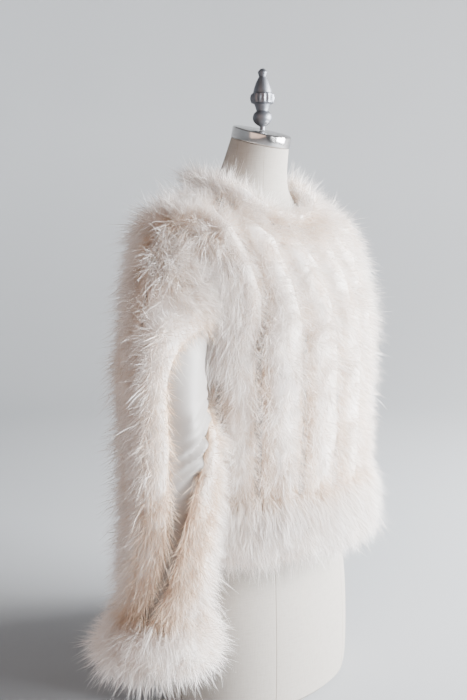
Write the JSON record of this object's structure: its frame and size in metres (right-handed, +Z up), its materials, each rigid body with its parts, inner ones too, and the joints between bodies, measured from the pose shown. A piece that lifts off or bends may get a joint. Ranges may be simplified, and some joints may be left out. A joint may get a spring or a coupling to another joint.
{
  "type": "marabou jacket on a dress form",
  "caption": "Long-sleeved satin jacket covered in rows of fluffy marabou boa, with a boa at neck, hem and cuffs, worn by a limbless linen dress form with a metal neck cap and finial.",
  "frame": {"origin": "centre of the dress form's flat underside", "axes": "+Z up, -Y out of the jacket's front, -X to the wearer's right arm"},
  "size_m": [0.6474, 0.3662, 0.9078],
  "materials": {
    "satin": "smooth satin",
    "marabou": "fluffy down",
    "linen": "plain weave, matt",
    "nickel": "bright nickel plate",
    "pewter": "satin pewter"
  },
  "bodies": {
    "root": {"front_right": "satin", "front_left": "satin", "back": "satin", "sleeve_right": "satin", "sleeve_left": "satin", "front_right_boa_1": "marabou", "front_right_boa_2": "marabou", "front_right_boa_3": "marabou", "front_right_boa_4": "marabou", "front_left_boa_1": "marabou", "front_left_boa_2": "marabou", "front_left_boa_3": "marabou", "front_left_boa_4": "marabou", "back_boa_1": "marabou", "back_boa_2": "marabou", "back_boa_3": "marabou", "back_boa_4": "marabou", "back_boa_5": "marabou", "back_boa_6": "marabou", "back_boa_7": "marabou", "back_boa_8": "marabou", "sleeve_right_boa_1": "marabou", "sleeve_right_boa_2": "marabou", "sleeve_right_boa_3": "marabou", "sleeve_right_boa_4": "marabou", "sleeve_right_boa_5": "marabou", "sleeve_left_boa_1": "marabou", "sleeve_left_boa_2": "marabou", "sleeve_left_boa_3": "marabou", "sleeve_left_boa_4": "marabou", "sleeve_left_boa_5": "marabou", "neck_boa": "marabou", "hem_boa": "marabou", "cuff_boa_right": "marabou", "cuff_boa_left": "marabou", "form_torso": "linen", "form_neck_cap": "nickel", "form_finial": "pewter"}
  },
  "joints": []
}
